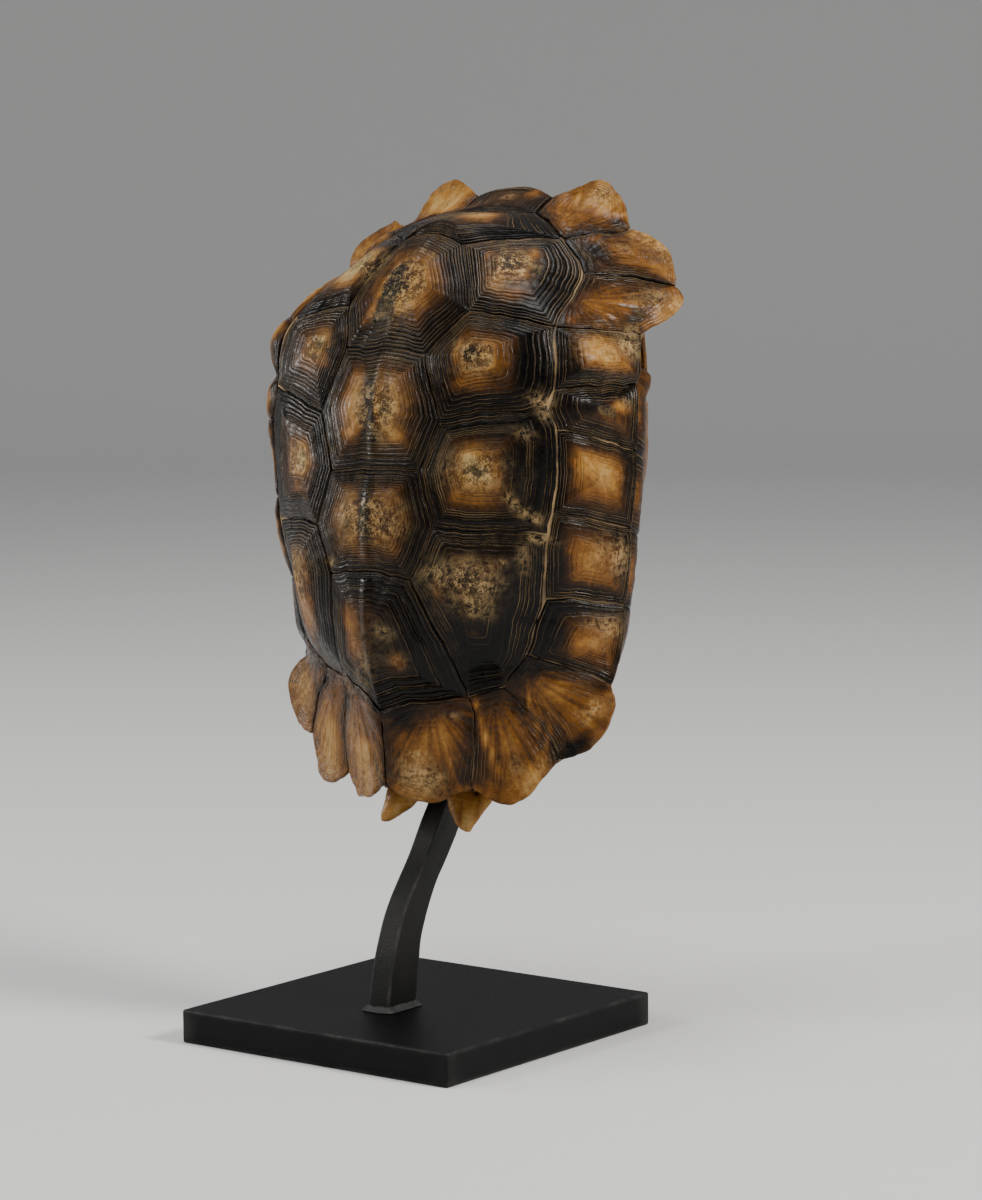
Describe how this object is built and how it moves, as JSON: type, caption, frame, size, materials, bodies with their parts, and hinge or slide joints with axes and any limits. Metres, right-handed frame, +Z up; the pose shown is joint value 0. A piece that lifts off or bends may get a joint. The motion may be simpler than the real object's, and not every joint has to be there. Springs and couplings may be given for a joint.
{
  "type": "mounted tortoise shell",
  "caption": "Domed tortoise shell with plastron, flared marginals and gular horns, held head end down on a bent steel post with a square steel base plate.",
  "frame": {"origin": "centre of the underside of the square base plate", "axes": "+Z up; X across the shell, its mid-plane is x = 0; -Y towards the domed carapace side, so the plastron faces +Y; the shell's head end points down"},
  "size_m": [0.19, 0.1958, 0.3802],
  "materials": {
    "shell": null,
    "post": "satin black finish on bent rectangular steel bar, slightly grainy",
    "base_plate": "satin black finish on flat steel plate, bright where its top edge is worn",
    "foot_weld": "black-finished weld bead, slightly lumpy",
    "screw": "dark oiled steel"
  },
  "bodies": {
    "root": {"shell": "shell", "post": "post", "base_plate": "base_plate", "foot_weld": "foot_weld", "lower_screw": "screw", "upper_screw": "screw"}
  },
  "joints": []
}
